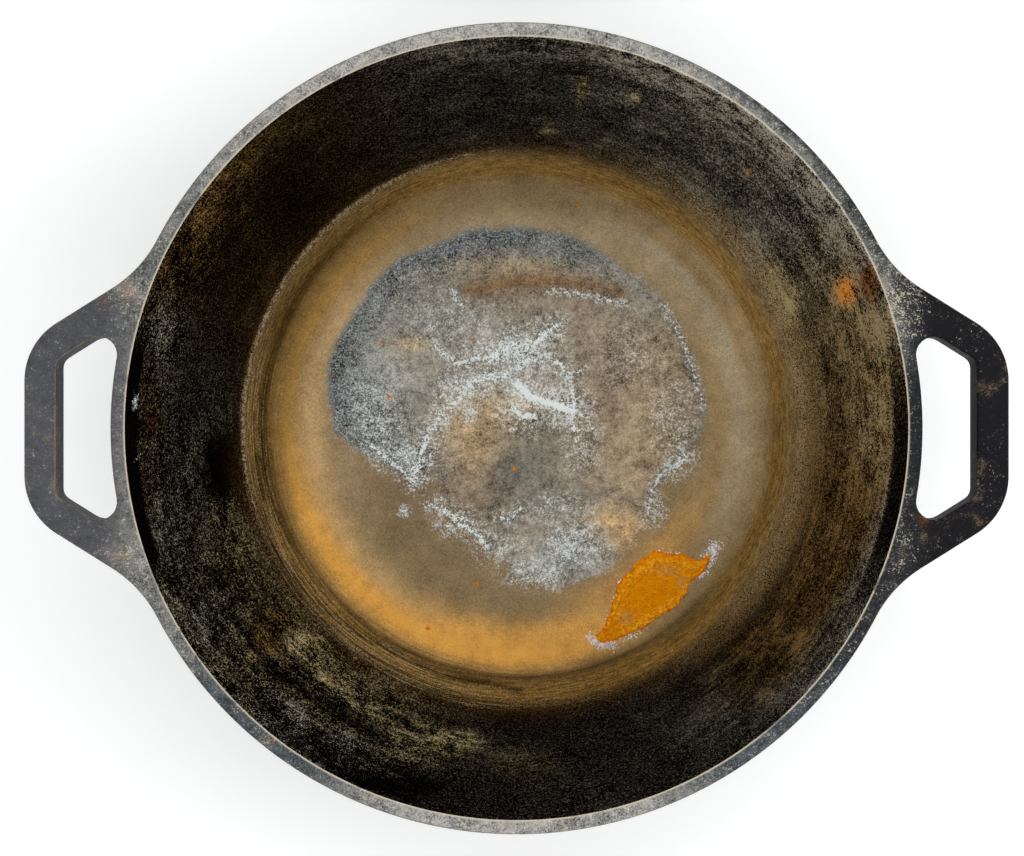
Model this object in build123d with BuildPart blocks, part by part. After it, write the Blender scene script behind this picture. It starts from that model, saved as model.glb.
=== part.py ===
"""Cast iron dutch oven: a deep round pot with two loop handles, and its domed lid.

The pot stands on z = 0 with its axis on Z and its handles along X. The lid is set down behind it, on the same
plane. All sizes are in millimetres.
"""

import os
from math import cos, radians, sin, sqrt, tan

from build123d import *

os.makedirs("parts", exist_ok=True)

# Pot
RIM_DIAMETER = 275.0  # widest circle of the pot, outside the rim
RIM_HEIGHT = 9.4  # height of the rim band, and thickness of the handles that run out of it
RIM_OVERHANG = 2.5  # how far the rim band stands out from the wall below it
RIM_BREAK = 0.9  # bevel on the outer edges of the rim and of the handles
RIM_HAUNCH = 1.3  # slope that fills the corner between the rim band and the wall
MOUTH_BREAK = 0.6  # bevel on the inner edge of the rim, rubbed by the lid
POT_DEPTH = 100.0  # from the rim's top to the inside floor
FLOOR_THICKNESS = 5.6
WALL_THICKNESS = 4.6
WALL_LEAN = 11.4  # degrees that the wall leans outwards
FLOOR_FILLET = 17.0  # inside corner between floor and wall
HEEL_FILLET = 19.0  # outside corner between base and wall

# Loop handles
HANDLE_REACH = 29.1  # how far a handle stands out from the rim
HANDLE_END = 57.8  # length of the outer edge, between its sharp corners
HANDLE_SLOPE = 32.0  # degrees that a handle's sides lean from its own axis
HANDLE_BAR = 10.8  # width of the bar round the opening
HANDLE_CORNER = 23.0  # rounding of the outer corners
HANDLE_BLEND = 43.0  # hollow sweep from a handle's side into the rim
OPENING_CORNER = 4.0  # rounding of the opening's outer corners
OPENING_ROOT = 6.0  # rounding of the opening's corners beside the rim

# Lid
LID_SETBACK = 0.5  # how far the lid's edge lies inside the rim's
LID_PLAY = 1.2  # gap all round between the locating ring and the pot's mouth
LID_RING_DEPTH = 5.0  # locating ring below the lid's seat
LID_RING_WIDTH = 4.0
LID_EDGE = 5.5  # thickness of the flat margin
LID_MARGIN = 11.0  # width of the flat margin on top
LID_THICKNESS = 4.8
LID_BREAK = 1.2  # bevel on the lid's outer edge
DOME_RISE = 20.0  # from the flat margin to the crown

# Handle of the lid, an arch that is cast with it
ARCH_SPAN = 104.0  # over both legs, at the height of the crown
ARCH_TOP = 62.0  # length of the level top, between its sharp corners
ARCH_RISE = 28.0  # from the crown to the top of the arch
ARCH_BAR = 9.0  # thickness of the bar
ARCH_WIDTH = 17.0
ARCH_CORNER = 14.0  # rounding of the outer corners
ARCH_BREAK = 2.4  # bevel along the arch's long edges

# Where the lid lies
LID_GAP = 46.0  # between the pot's rim and the lid's edge

REACH_DIGITS = 3  # decimals that tell one reach of a handle's corners from another

pot_height = FLOOR_THICKNESS + POT_DEPTH
underside = pot_height - RIM_HEIGHT
rim_radius = RIM_DIAMETER / 2


def outside_radius(z):
    """Radius of the wall's outer face at a height."""
    return rim_radius - RIM_OVERHANG - (underside - z) * tan(radians(WALL_LEAN))


def inside_radius(z):
    """Radius of the wall's inner face at a height."""
    return outside_radius(z) - WALL_THICKNESS / cos(radians(WALL_LEAN))


def handle_outline(inset):
    """Corners of a handle's plan, drawn in by an inset, from inside the rim's circle to the outer edge."""
    slope = radians(HANDLE_SLOPE)
    end_x = rim_radius + HANDLE_REACH - inset
    end_y = HANDLE_END / 2 - inset * (1 - sin(slope)) / cos(slope)
    run = end_x * cos(slope) - end_y * sin(slope)
    foot_x = end_x - run * cos(slope)
    foot_y = end_y + run * sin(slope)
    return [(foot_x, -foot_y), (end_x, -end_y), (end_x, end_y), (foot_x, foot_y)]


def by_reach(corners):
    """Corners of both handles in groups, from the nearest to the pot's middle to the farthest out along X."""
    return corners.group_by(lambda corner: round(abs(corner.X), REACH_DIGITS))


def level_face(z):
    """The pot's flat face at a height."""
    return pot.faces().filter_by(GeomType.PLANE).sort_by(lambda face: abs(face.center().Z - z))[0]


with BuildPart() as pot:
    # Body, solid at first
    with BuildSketch(Plane.XZ) as body_section:
        with BuildLine():
            Polyline(
                (0, 0),
                (outside_radius(0), 0),
                (outside_radius(underside), underside),
                (outside_radius(underside), pot_height),
                (0, pot_height),
                close=True,
            )
        make_face()
        heel = body_section.vertices().group_by(Axis.Y)[0].sort_by(Axis.X)[-1]
        fillet(heel, HEEL_FILLET)
    revolve(axis=Axis.Z)

    # Rim band and both handles, one plate that is flush with the rim's top
    with BuildSketch(Plane.XY.offset(underside)) as rim_plan:
        handle_plan = handle_outline(0)
        Circle(rim_radius)
        Polygon(*handle_plan, align=None)
        Polygon(*[(-x, -y) for x, y in handle_plan], align=None)
        fillet(by_reach(rim_plan.vertices())[-1], HANDLE_CORNER)
        fillet(by_reach(rim_plan.vertices())[0], HANDLE_BLEND)
    extrude(amount=RIM_HEIGHT)

    # Openings of the handles, bounded by the rim's own circle
    with BuildSketch(Plane.XY.offset(underside)) as openings:
        opening_plan = handle_outline(HANDLE_BAR)
        Polygon(*opening_plan, align=None)
        Polygon(*[(-x, -y) for x, y in opening_plan], align=None)
        Circle(rim_radius, mode=Mode.SUBTRACT)
        fillet(by_reach(openings.vertices())[-1], OPENING_CORNER)
        fillet(by_reach(openings.vertices())[0], OPENING_ROOT)
    extrude(amount=RIM_HEIGHT, mode=Mode.SUBTRACT)

    # Inside of the pot
    with BuildSketch(Plane.XZ) as cavity_section:
        with BuildLine():
            Polyline(
                (0, FLOOR_THICKNESS),
                (inside_radius(FLOOR_THICKNESS), FLOOR_THICKNESS),
                (inside_radius(pot_height), pot_height),
                (0, pot_height),
                close=True,
            )
        make_face()
        corner = cavity_section.vertices().group_by(Axis.Y)[0].sort_by(Axis.X)[-1]
        fillet(corner, FLOOR_FILLET)
    revolve(axis=Axis.Z, mode=Mode.SUBTRACT)

    # Edges of the rim band and of the handles
    wall_circle = max(level_face(underside).inner_wires(), key=lambda wire: wire.length)
    chamfer(wall_circle.edges(), RIM_HAUNCH)
    mouth_circle = max(level_face(pot_height).inner_wires(), key=lambda wire: wire.length)
    chamfer(mouth_circle.edges(), MOUTH_BREAK)
    edges = ShapeList()
    for face in (level_face(underside), level_face(pot_height)):
        edges += face.outer_wire().edges()
        for wire in face.inner_wires():
            if abs(wire.center().X) > rim_radius:
                edges += wire.edges()
    chamfer(edges, RIM_BREAK)

pot.part.label = "pot"
export_step(pot.part, "parts/pot.step")

# The lid lies right side up behind the pot, on the lower edge of its locating ring
lid_radius = rim_radius - LID_SETBACK
lid_y = rim_radius + LID_GAP + lid_radius
lid_section_plane = Plane(origin=(0, lid_y, 0), x_dir=(1, 0, 0), z_dir=(0, -1, 0))
lid_axis = Axis((0, lid_y, 0), (0, 0, 1))
margin_top = LID_RING_DEPTH + LID_EDGE
crown = margin_top + DOME_RISE
dome_edge = lid_radius - LID_MARGIN
dome_radius = (dome_edge**2 + DOME_RISE**2) / (2 * DOME_RISE)
hollow_radius = dome_radius - LID_THICKNESS
ring_radius = inside_radius(pot_height - LID_RING_DEPTH) - LID_PLAY
hollow_edge = ring_radius - LID_RING_WIDTH


def sphere_height(radius, distance):
    """Height of a sphere of the dome at a distance from the lid's axis. Both spheres share one centre."""
    return crown - dome_radius + sqrt(radius**2 - distance**2)


def dome_points(radius, edge):
    """Three points on a dome's section, from its edge to its crown."""
    return [(distance, sphere_height(radius, distance)) for distance in (edge, edge / 2, 0)]


with BuildPart() as arch:
    with BuildSketch(lid_section_plane) as arch_section:
        spread = (ARCH_SPAN - ARCH_TOP) / ARCH_RISE
        foot = ARCH_SPAN + spread * DOME_RISE
        Polygon(
            (-foot / 2, margin_top),
            (foot / 2, margin_top),
            (ARCH_TOP / 2, crown + ARCH_RISE),
            (-ARCH_TOP / 2, crown + ARCH_RISE),
            align=None,
        )
        fillet(arch_section.vertices().group_by(Axis.Y)[-1], ARCH_CORNER)
        offset(amount=-ARCH_BAR, kind=Kind.INTERSECTION, mode=Mode.SUBTRACT)
    extrude(amount=ARCH_WIDTH / 2, both=True)
    side_edges = arch.edges().group_by(Axis.Y)
    chamfer(side_edges[0] + side_edges[-1], ARCH_BREAK)

with BuildPart() as lid:
    # Plate with its locating ring, solid under the dome at first
    with BuildSketch(lid_section_plane) as lid_section:
        with BuildLine():
            dome = ThreePointArc(*dome_points(dome_radius, dome_edge))
            Polyline(
                dome @ 1,
                (0, 0),
                (ring_radius, 0),
                (ring_radius, LID_RING_DEPTH),
                (lid_radius, LID_RING_DEPTH),
                (lid_radius, margin_top),
                dome @ 0,
            )
        make_face()
        rim_corners = lid_section.vertices().group_by(Axis.X)[-1]
        chamfer(rim_corners, LID_BREAK)
    revolve(axis=lid_axis)
    add(arch.part)

    # Hollow under the dome
    with BuildSketch(lid_section_plane) as hollow_section:
        with BuildLine():
            hollow = ThreePointArc(*dome_points(hollow_radius, hollow_edge))
            Polyline(hollow @ 1, (0, 0), (hollow_edge, 0), hollow @ 0)
        make_face()
    revolve(axis=lid_axis, mode=Mode.SUBTRACT)

lid.part.label = "lid"
export_step(lid.part, "parts/lid.step")
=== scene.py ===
"""Looks of a cast iron dutch oven seen from above: the worn pot, its stained floor and the lid behind it.

Sizes are in millimetres, and MM turns them into Blender's metres. X runs along the handles, Z is up, and the
middle of the pot's base is the origin. Stains are placed by their pixels in a picture of 1024 x 856, through
the same camera that the scene uses.
"""

import math
from types import SimpleNamespace

import bmesh
import bpy
import numpy as np
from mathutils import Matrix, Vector
from mathutils.geometry import delaunay_2d_cdt


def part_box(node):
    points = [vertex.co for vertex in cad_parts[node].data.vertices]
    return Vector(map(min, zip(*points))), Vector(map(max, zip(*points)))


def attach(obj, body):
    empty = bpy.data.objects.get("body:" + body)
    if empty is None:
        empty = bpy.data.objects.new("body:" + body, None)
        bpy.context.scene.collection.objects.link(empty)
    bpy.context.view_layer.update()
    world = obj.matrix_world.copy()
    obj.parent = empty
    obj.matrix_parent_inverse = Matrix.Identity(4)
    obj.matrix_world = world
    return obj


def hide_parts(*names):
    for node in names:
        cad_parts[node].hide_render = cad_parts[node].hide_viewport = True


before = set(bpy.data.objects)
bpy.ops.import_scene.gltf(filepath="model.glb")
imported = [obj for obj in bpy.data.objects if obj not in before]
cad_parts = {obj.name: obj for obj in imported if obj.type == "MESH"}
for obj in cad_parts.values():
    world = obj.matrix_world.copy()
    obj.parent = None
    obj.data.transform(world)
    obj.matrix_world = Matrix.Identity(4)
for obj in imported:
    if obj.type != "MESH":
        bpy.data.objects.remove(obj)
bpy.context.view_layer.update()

MM = 0.001

# Pot, from the frame
_, pot_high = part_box("pot")
RIM_TOP = pot_high[2] / MM
RIM_RADIUS = pot_high[1] / MM
HANDLE_X = pot_high[0] / MM

# Pot, as it was cast
RIM_HEIGHT = 9.4
RIM_OVERHANG = 2.5
RIM_ROUND = 0.9
RIM_HAUNCH = 1.0
MOUTH_ROUND = 0.6
FLOOR_TOP = 5.6
WALL_THICKNESS = 4.6
WALL_LEAN = math.radians(11.4)
FLOOR_FILLET = 17.0
HEEL_FILLET = 19.0
HANDLE_END = 57.8
HANDLE_SLOPE = math.radians(32.0)
HANDLE_BAR = 10.8
HANDLE_CORNER = 23.0
HANDLE_BLEND = 43.0
OPENING_CORNER = 4.0
OPENING_ROOT = 6.0
UNDERSIDE = RIM_TOP - RIM_HEIGHT

# Fineness of the pot's mesh
FLOOR_RINGS = 100
BASE_RINGS = 50
FILLET_STEPS = 14
WALL_STEP = 3.0
EDGE_STEPS = 4
OUTLINE_STEP = 1.5
FACE_STEP = 2.4
EDGE_CLEARANCE = 0.6  # of a step, from an edge to the nearest point in a face
JOIN_DISTANCE = 1e-5
TINY = 1e-9  # keeps a run of no length from dividing by zero

# Camera, straight above the pot and a little off its axis
PICTURE = (1024, 856)
CAMERA_X = 7.1
CAMERA_Y = 2.6
CAMERA_Z = RIM_TOP + 500.0
FOCAL = 1479.5  # pixels
RIM_CENTRE = (516.5, 428.3)  # pixel where the middle of the rim is seen
FLOOR_CENTRE = (520.0, 427.0)  # pixel where the middle of the floor is seen
SENSOR = 36.0

AXIS_PIXEL = (
    RIM_CENTRE[0] + FOCAL * CAMERA_X / (CAMERA_Z - RIM_TOP),
    RIM_CENTRE[1] - FOCAL * CAMERA_Y / (CAMERA_Z - RIM_TOP),
)


def seen_at(points):
    """Pixels at which points are seen."""
    scale = FOCAL / (CAMERA_Z - points[:, 2])
    px = AXIS_PIXEL[0] + (points[:, 0] - CAMERA_X) * scale
    py = AXIS_PIXEL[1] - (points[:, 1] - CAMERA_Y) * scale
    return px, py


def on_floor(pixels):
    """Points on the pot's floor that are seen at some pixels."""
    pixels = np.asarray(pixels, float)
    scale = (CAMERA_Z - FLOOR_TOP) / FOCAL
    x = CAMERA_X + (pixels[:, 0] - AXIS_PIXEL[0]) * scale
    y = CAMERA_Y - (pixels[:, 1] - AXIS_PIXEL[1]) * scale
    return np.column_stack([x, y])


def smooth(low, high, value):
    """0 below low, 1 above high, and a soft step between."""
    share = np.clip((value - low) / (high - low), 0, 1)
    return share * share * (3 - 2 * share)


def linear(red, green, blue):
    """A colour as it is seen, from 0 to 255, in linear light."""
    share = np.array([red, green, blue]) / 255
    return np.where(share <= 0.04045, share / 12.92, ((share + 0.055) / 1.055) ** 2.4)


# Mesh of the pot


class Skin:
    """A mesh put together from loops of points."""

    def __init__(self):
        self.points = []
        self.faces = []

    def loop(self, points):
        """Add points, and give back their numbers."""
        first = len(self.points)
        self.points.extend(tuple(point) for point in points)
        return list(range(first, len(self.points)))

    def band(self, lower, upper):
        """Quads between two loops with the same number of points."""
        for here in range(len(lower)):
            after = (here + 1) % len(lower)
            self.faces.append((lower[here], lower[after], upper[after], upper[here]))

    def disc(self, radius, z, rings):
        """A flat disc of even triangles. Gives back its outer loop, of six points for each ring."""
        inner = self.loop([(0, 0, z)])
        for ring in range(1, rings + 1):
            outer = self.loop(circle(radius * ring / rings, z, 6 * ring))
            for place in range(6 * ring):
                side, step = divmod(place, ring)
                after = (place + 1) % len(outer)
                near = (side * (ring - 1) + step) % len(inner)
                self.faces.append((outer[place], outer[after], inner[near]))
                if step < ring - 1:
                    self.faces.append((inner[near], outer[after], inner[(near + 1) % len(inner)]))
            inner = outer
        return inner

    def lathe(self, section, bottom, rings):
        """A disc, and the wall that rises from its edge along a section. Gives back the last loop."""
        loop = self.disc(section[0][0], bottom, rings)
        for radius, z in section[1:]:
            above = self.loop(circle(radius, z, 6 * rings))
            self.band(loop, above)
            loop = above
        return loop

    def plan(self, numbers):
        """The points with these numbers, seen from above."""
        return np.array([self.points[number][:2] for number in numbers])

    def sheet(self, z, outside, holes, spacing):
        """A flat face with even triangles between an outer loop and its holes, which the skin already has."""
        numbers = [number for loop in (outside, *holes) for number in loop]
        edges = []
        for loop in (outside, *holes):
            first = len(edges)
            edges += [(first + step, first + (step + 1) % len(loop)) for step in range(len(loop))]
        rings = [self.plan(loop) for loop in (outside, *holes)]
        grid = even_points(rings[0], rings[1:], spacing)
        numbers += self.loop([(x, y, z) for x, y in grid])
        flat = [Vector(place) for place in self.plan(numbers)]
        _, _, faces, sources, _, _ = delaunay_2d_cdt(flat, edges, [], 0, JOIN_DISTANCE)
        corners = [[numbers[sources[corner][0]] for corner in face] for face in faces]
        middles = np.array([self.plan(face).mean(axis=0) for face in corners])
        kept = within(middles, rings[0])
        for ring in rings[1:]:
            kept &= ~within(middles, ring)
        self.faces += [tuple(face) for face, keep in zip(corners, kept) if keep]

    def mesh(self, name):
        """The finished mesh, in metres, with its faces turned outwards."""
        made = bpy.data.meshes.new(name)
        made.from_pydata((np.array(self.points) * MM).tolist(), [], self.faces)
        work = bmesh.new()
        work.from_mesh(made)
        bmesh.ops.recalc_face_normals(work, faces=work.faces)
        work.to_mesh(made)
        work.free()
        made.polygons.foreach_set("use_smooth", [True] * len(made.polygons))
        return made


def circle(radius, z, count):
    """Points round the pot's axis."""
    turn = np.arange(count) * 2 * math.pi / count
    return np.column_stack([radius * np.cos(turn), radius * np.sin(turn), np.full(count, z)])


def within(points, ring):
    """Which points lie inside a closed ring."""
    x, y = points[:, 0], points[:, 1]
    inside = np.zeros(len(points), bool)
    for (x0, y0), (x1, y1) in zip(ring, np.roll(ring, -1, axis=0)):
        if y0 != y1:
            inside ^= ((y0 > y) != (y1 > y)) & (x < (x1 - x0) * (y - y0) / (y1 - y0) + x0)
    return inside


def distance_to(points, path, closed=False):
    """Distance from each point to a path of straight runs."""
    nearest = np.full(len(points), np.inf)
    path = np.asarray(path, float)
    ends = np.roll(path, -1, axis=0) if closed else path[1:]
    for start, end in zip(path, ends):
        run = end - start
        share = np.clip((points - start) @ run / max(run @ run, TINY), 0, 1)
        nearest = np.minimum(nearest, np.linalg.norm(points - start - share[:, None] * run, axis=1))
    return nearest


def even_points(ring, holes, spacing):
    """A staggered grid of points inside a ring, clear of its edge and of its holes."""
    low, high = ring.min(axis=0), ring.max(axis=0)
    rows = np.arange(low[1], high[1], spacing * math.sqrt(3) / 2)
    columns = np.arange(low[0], high[0], spacing)
    grid = np.array([(x + spacing / 2 * (row % 2), y) for row, y in enumerate(rows) for x in columns])
    grid = grid[within(grid, ring)]
    for hole in holes:
        grid = grid[~within(grid, hole)]
    for loop in (ring, *holes):
        nearest = np.array([np.min(np.hypot(*(loop - point).T)) for point in grid])
        grid = grid[nearest > EDGE_CLEARANCE * spacing]
    return grid


def arc(centre, radius, start, end, away=1):
    """Points along an arc, and the directions out of the iron there. The last point is left out."""
    count = max(2, round(abs(end - start) * radius / OUTLINE_STEP))
    turn = start + (end - start) * np.arange(count) / count
    out = np.column_stack([np.cos(turn), np.sin(turn)])
    return np.asarray(centre) + radius * out, away * out


def run(start, end, out):
    """Points along a straight run, and the direction out of the iron there. The last point is left out."""
    start, end = np.asarray(start), np.asarray(end)
    count = max(2, round(np.linalg.norm(end - start) / OUTLINE_STEP))
    share = np.arange(count)[:, None] / count
    return start + share * (end - start), np.repeat([out], count, axis=0)


side_out = np.array([math.sin(HANDLE_SLOPE), math.cos(HANDLE_SLOPE)])
side_along = np.array([math.cos(HANDLE_SLOPE), -math.sin(HANDLE_SLOPE)])
SIDE_ANGLE = math.pi / 2 - HANDLE_SLOPE
SIDE_REACH = float(side_out @ (HANDLE_X, HANDLE_END / 2))  # from the pot's axis square to a handle's side


def beside_rim(offset, radius):
    """Centre of an arc that lies at an offset from a handle's side and at a radius from the pot's axis."""
    return side_out * offset + side_along * math.sqrt(radius**2 - offset**2)


def corner_centre(end_x, side_reach, radius):
    """Centre of the arc that rounds the corner between a handle's side and its outer edge."""
    x = end_x - radius
    return np.array([x, (side_reach - radius - side_out[0] * x) / side_out[1]])


def mirrored(pieces):
    """Points above X and their mirror images below, each with the directions out of the iron."""
    points = np.concatenate([piece[0] for piece in pieces])
    outs = np.concatenate([piece[1] for piece in pieces])
    flip = np.array([1, -1])
    return points, outs, points[::-1] * flip, outs[::-1] * flip


def rim_outline():
    """Outline of the rim with both handles, and the directions out of it."""
    blend = beside_rim(SIDE_REACH + HANDLE_BLEND, RIM_RADIUS + HANDLE_BLEND)
    corner = corner_centre(HANDLE_X, SIDE_REACH, HANDLE_CORNER)
    meet = math.atan2(blend[1], blend[0])
    end = np.array([HANDLE_X, corner[1]])
    quarter = [
        arc((0, 0), RIM_RADIUS, math.pi / 2, meet),
        arc(blend, HANDLE_BLEND, meet + math.pi, SIDE_ANGLE + math.pi, -1),
        run(blend - HANDLE_BLEND * side_out, corner + HANDLE_CORNER * side_out, side_out),
        arc(corner, HANDLE_CORNER, SIDE_ANGLE, 0),
        run(end, (HANDLE_X, 0), (1, 0)),
    ]
    points, outs, below, below_outs = mirrored(quarter)
    right = np.concatenate([points, [(HANDLE_X, 0)], below[:-1]])
    right_outs = np.concatenate([outs, [(1, 0)], below_outs[:-1]])
    return np.concatenate([right, -right]), np.concatenate([right_outs, -right_outs])


def opening_outline():
    """Outline of the right handle's opening, and the directions out of the iron."""
    reach = SIDE_REACH - HANDLE_BAR
    end_x = HANDLE_X - HANDLE_BAR
    root = beside_rim(reach - OPENING_ROOT, RIM_RADIUS + OPENING_ROOT)
    corner = corner_centre(end_x, reach, OPENING_CORNER)
    meet = math.atan2(root[1], root[0])
    half = [
        arc((0, 0), RIM_RADIUS, 0, meet),
        arc(root, OPENING_ROOT, meet + math.pi, SIDE_ANGLE, -1),
        run(root + OPENING_ROOT * side_out, corner + OPENING_CORNER * side_out, -side_out),
        arc(corner, OPENING_CORNER, SIDE_ANGLE, 0, -1),
        run((end_x, corner[1]), (end_x, 0), (-1, 0)),
    ]
    points, outs, below, below_outs = mirrored(half)
    loop = np.concatenate([points, [(end_x, 0)], below[:-1]])
    return loop, np.concatenate([outs, [(-1, 0)], below_outs[:-1]])


def outside_radius(z):
    """Radius of the wall's outer face."""
    return RIM_RADIUS - RIM_OVERHANG - (UNDERSIDE - z) * math.tan(WALL_LEAN)


def inside_radius(z):
    """Radius of the wall's inner face."""
    return outside_radius(z) - WALL_THICKNESS / math.cos(WALL_LEAN)


def section_arc(centre_r, centre_z, radius, start, end, steps):
    """Points of a section along an arc."""
    turns = np.linspace(start, end, steps + 1)
    return [(centre_r + radius * math.cos(turn), centre_z + radius * math.sin(turn)) for turn in turns]


def corner_arc(radius_at, bottom, fillet):
    """Section of a round corner between a level floor and the leaning wall, from the floor up."""
    centre_z = bottom + fillet
    centre_r = radius_at(centre_z) - fillet / math.cos(WALL_LEAN)
    return section_arc(centre_r, centre_z, fillet, -math.pi / 2, -WALL_LEAN, FILLET_STEPS)


def wall_section(radius_at, low, high):
    """Section of a wall between two heights, without its ends."""
    heights = np.linspace(low, high, max(2, round((high - low) / WALL_STEP)) + 1)[1:-1]
    return [(radius_at(z), z) for z in heights]


def inner_section():
    """Section of the inside, from the floor's edge to the rim's flat top."""
    corner = corner_arc(inside_radius, FLOOR_TOP, FLOOR_FILLET)
    centre_z = RIM_TOP - MOUTH_ROUND
    centre_r = inside_radius(centre_z) + MOUTH_ROUND / math.cos(WALL_LEAN)
    mouth = section_arc(centre_r, centre_z, MOUTH_ROUND, math.pi - WALL_LEAN, math.pi / 2, EDGE_STEPS)
    return corner + wall_section(inside_radius, corner[-1][1], mouth[0][1]) + mouth


def outer_section():
    """Section of the outside, from the base's edge to the rim band's underside."""
    corner = corner_arc(outside_radius, 0, HEEL_FILLET)
    top_z = UNDERSIDE - RIM_HAUNCH
    start = outside_radius(top_z)
    turns = np.linspace(0, math.pi / 2, EDGE_STEPS + 1)
    width = outside_radius(UNDERSIDE) + RIM_HAUNCH - start
    haunch = [(start + width * (1 - math.cos(turn)), top_z + RIM_HAUNCH * math.sin(turn)) for turn in turns]
    return corner + wall_section(outside_radius, corner[-1][1], top_z) + haunch


def round_edges(skin, outline, outs):
    """The rim band's upright side along an outline, with round edges. Gives its upper and lower loops."""
    upper = []
    lower = []
    for turn in np.linspace(0, math.pi / 2, EDGE_STEPS + 1):
        inset = outline - RIM_ROUND * (1 - math.sin(turn)) * outs
        drop = RIM_ROUND * (1 - math.cos(turn))
        upper.append(skin.loop(np.column_stack([inset, np.full(len(inset), RIM_TOP - drop)])))
        lower.append(skin.loop(np.column_stack([inset, np.full(len(inset), UNDERSIDE + drop)])))
    loops = upper + lower[::-1]
    for above, below in zip(loops, loops[1:]):
        skin.band(above, below)
    return upper[0], lower[0]


def pot_mesh():
    """The whole pot as one closed skin."""
    skin = Skin()
    mouth = skin.lathe(inner_section(), FLOOR_TOP, FLOOR_RINGS)
    haunch = skin.lathe(outer_section(), 0, BASE_RINGS)
    edge_top, edge_under = round_edges(skin, *rim_outline())
    opening, opening_out = opening_outline()
    right_top, right_under = round_edges(skin, opening, opening_out)
    left_top, left_under = round_edges(skin, -opening, -opening_out)
    skin.sheet(RIM_TOP, edge_top, [mouth, right_top, left_top], FACE_STEP)
    skin.sheet(UNDERSIDE, edge_under, [haunch, right_under, left_under], FACE_STEP)
    return skin.mesh("pot_skin")


# Colours, as they are seen
BLACK_IRON = linear(4, 3, 3)
OLIVE = linear(128, 109, 78)
TAN = linear(180, 150, 106)
ORANGE_TAN = linear(226, 164, 76)
HONEY = linear(158, 122, 62)
GOLDEN = linear(120, 90, 38)
UMBER = linear(44, 29, 8)
GREIGE = linear(158, 139, 108)
RING_GREY = linear(152, 142, 120)
RING_BROWN = linear(138, 108, 66)
MAUVE = linear(134, 115, 88)
SLATE = linear(96, 101, 101)
PALE_SLATE = linear(154, 157, 153)
BROWN_GREY = linear(136, 121, 101)
GREY_BROWN = linear(126, 122, 112)
CRESCENT_BROWN = linear(124, 97, 66)
WARM_BROWN = linear(196, 164, 118)
DARK_GREY = linear(102, 102, 94)
UMBER_GREY = linear(116, 100, 82)
CHALK = linear(186, 187, 180)
MINERAL = linear(216, 223, 221)
RUST = linear(196, 128, 56)
RUST_BROWN = linear(124, 84, 50)
STRAW = linear(168, 153, 112)
ASH = linear(152, 144, 128)
SOOT_BROWN = linear(126, 98, 56)
OLIVE_GRIME_AND_REFLECTION = linear(148, 128, 90)
RIM_GREY = linear(102, 104, 102)
RIM_PALE_REFLECTION_AND_WEAR = linear(154, 152, 147)
RIM_SLATE_REFLECTION = linear(72, 79, 83)
RIM_DARK_REFLECTION = linear(38, 41, 44)
HANDLE_SLATE_REFLECTION = linear(72, 73, 79)
HANDLE_DARK_REFLECTION = linear(9, 9, 14)
CREAM = linear(206, 196, 174)
EDGE_TAN = linear(132, 112, 88)

# Share of the open light that reaches the pot's inside. The inside's colours are divided by it: painted light
# that undoes the pot's shade
FLOOR_LIGHT = 0.68
SIDE_LIGHT = 0.07  # how much less of it falls on the floor's right edge, and more on its left
WALL_LIGHT = 0.56

# Stains on the floor, in pixels of the picture
PATCH_OUTLINE = [
    (327, 364), (333, 347), (350, 317), (374, 282), (400, 256), (433, 247), (468, 229), (503, 228),
    (538, 228), (567, 235), (597, 248), (617, 265), (641, 278), (664, 303), (682, 332), (697, 376),
    (705, 405), (702, 429), (691, 449), (673, 464), (655, 492), (640, 530), (610, 570), (560, 590),
    (515, 578), (490, 552), (462, 524), (440, 500), (432, 470), (424, 476), (418, 483), (406, 479),
    (365, 455), (336, 435), (329, 400),
]
# Places of another colour in the grey patch: middle, half sizes, colour, how thick
PATCH_CLOUDS = [
    ((425, 318), (56, 44), GREY_BROWN, 0.85),
    ((368, 398), (60, 66), PALE_SLATE, 0.95),
    ((410, 410), (30, 30), GREY_BROWN, 0.8),
    ((470, 238), (100, 14), SLATE, 0.75),
    ((585, 255), (45, 16), SLATE, 0.7),
    ((412, 344), (22, 9), WARM_BROWN, 0.45),
    ((510, 267), (66, 10), GREIGE, 0.9),
    ((470, 446), (34, 36), WARM_BROWN, 0.85),
    ((505, 408), (34, 14), WARM_BROWN, 0.7),
    ((518, 472), (44, 38), DARK_GREY, 0.9),
    ((545, 440), (24, 22), DARK_GREY, 0.5),
    ((450, 470), (20, 30), BROWN_GREY, 0.6),
    ((660, 400), (34, 60), GREIGE, 0.55),
    ((560, 505), (60, 26), GREY_BROWN, 0.7),
    ((612, 520), (24, 14), WARM_BROWN, 0.6),
    ((640, 540), (30, 18), ORANGE_TAN, 0.35),
    ((560, 560), (50, 26), PALE_SLATE, 0.7),
    ((500, 530), (30, 16), GREY_BROWN, 0.6),
    ((560, 320), (44, 22), UMBER_GREY, 0.6),
    ((586, 448), (9, 26), UMBER_GREY, 0.85),
    ((620, 380), (30, 20), UMBER_GREY, 0.4),
    ((505, 376), (60, 34), CHALK, 0.35),
    ((640, 285), (46, 34), PALE_SLATE, 0.40),
    ((500, 325), (70, 30), PALE_SLATE, 0.30),
    ((470, 506), (44, 34), UMBER_GREY, 0.35),
    ((645, 468), (40, 40), GREIGE, 0.40),
]
CRESCENT = [(470, 290), (500, 284), (545, 280), (590, 284), (622, 294)]  # a brown arc in the patch
CRESCENT_WIDTH = 9
# The patch's dark edge, and a thin line on its right: angle and spread, then the width
DARK_EDGE = (134, 106)
DARK_EDGE_WIDTH = 34
RIGHT_LINE = (0, 60)
RIGHT_LINE_WIDTH = 7
SPECKLED_PLACE = ((365, 420), (40, 50))
PATCH_REACH = 30  # pixels from the patch's edge past which the distance no longer counts

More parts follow.
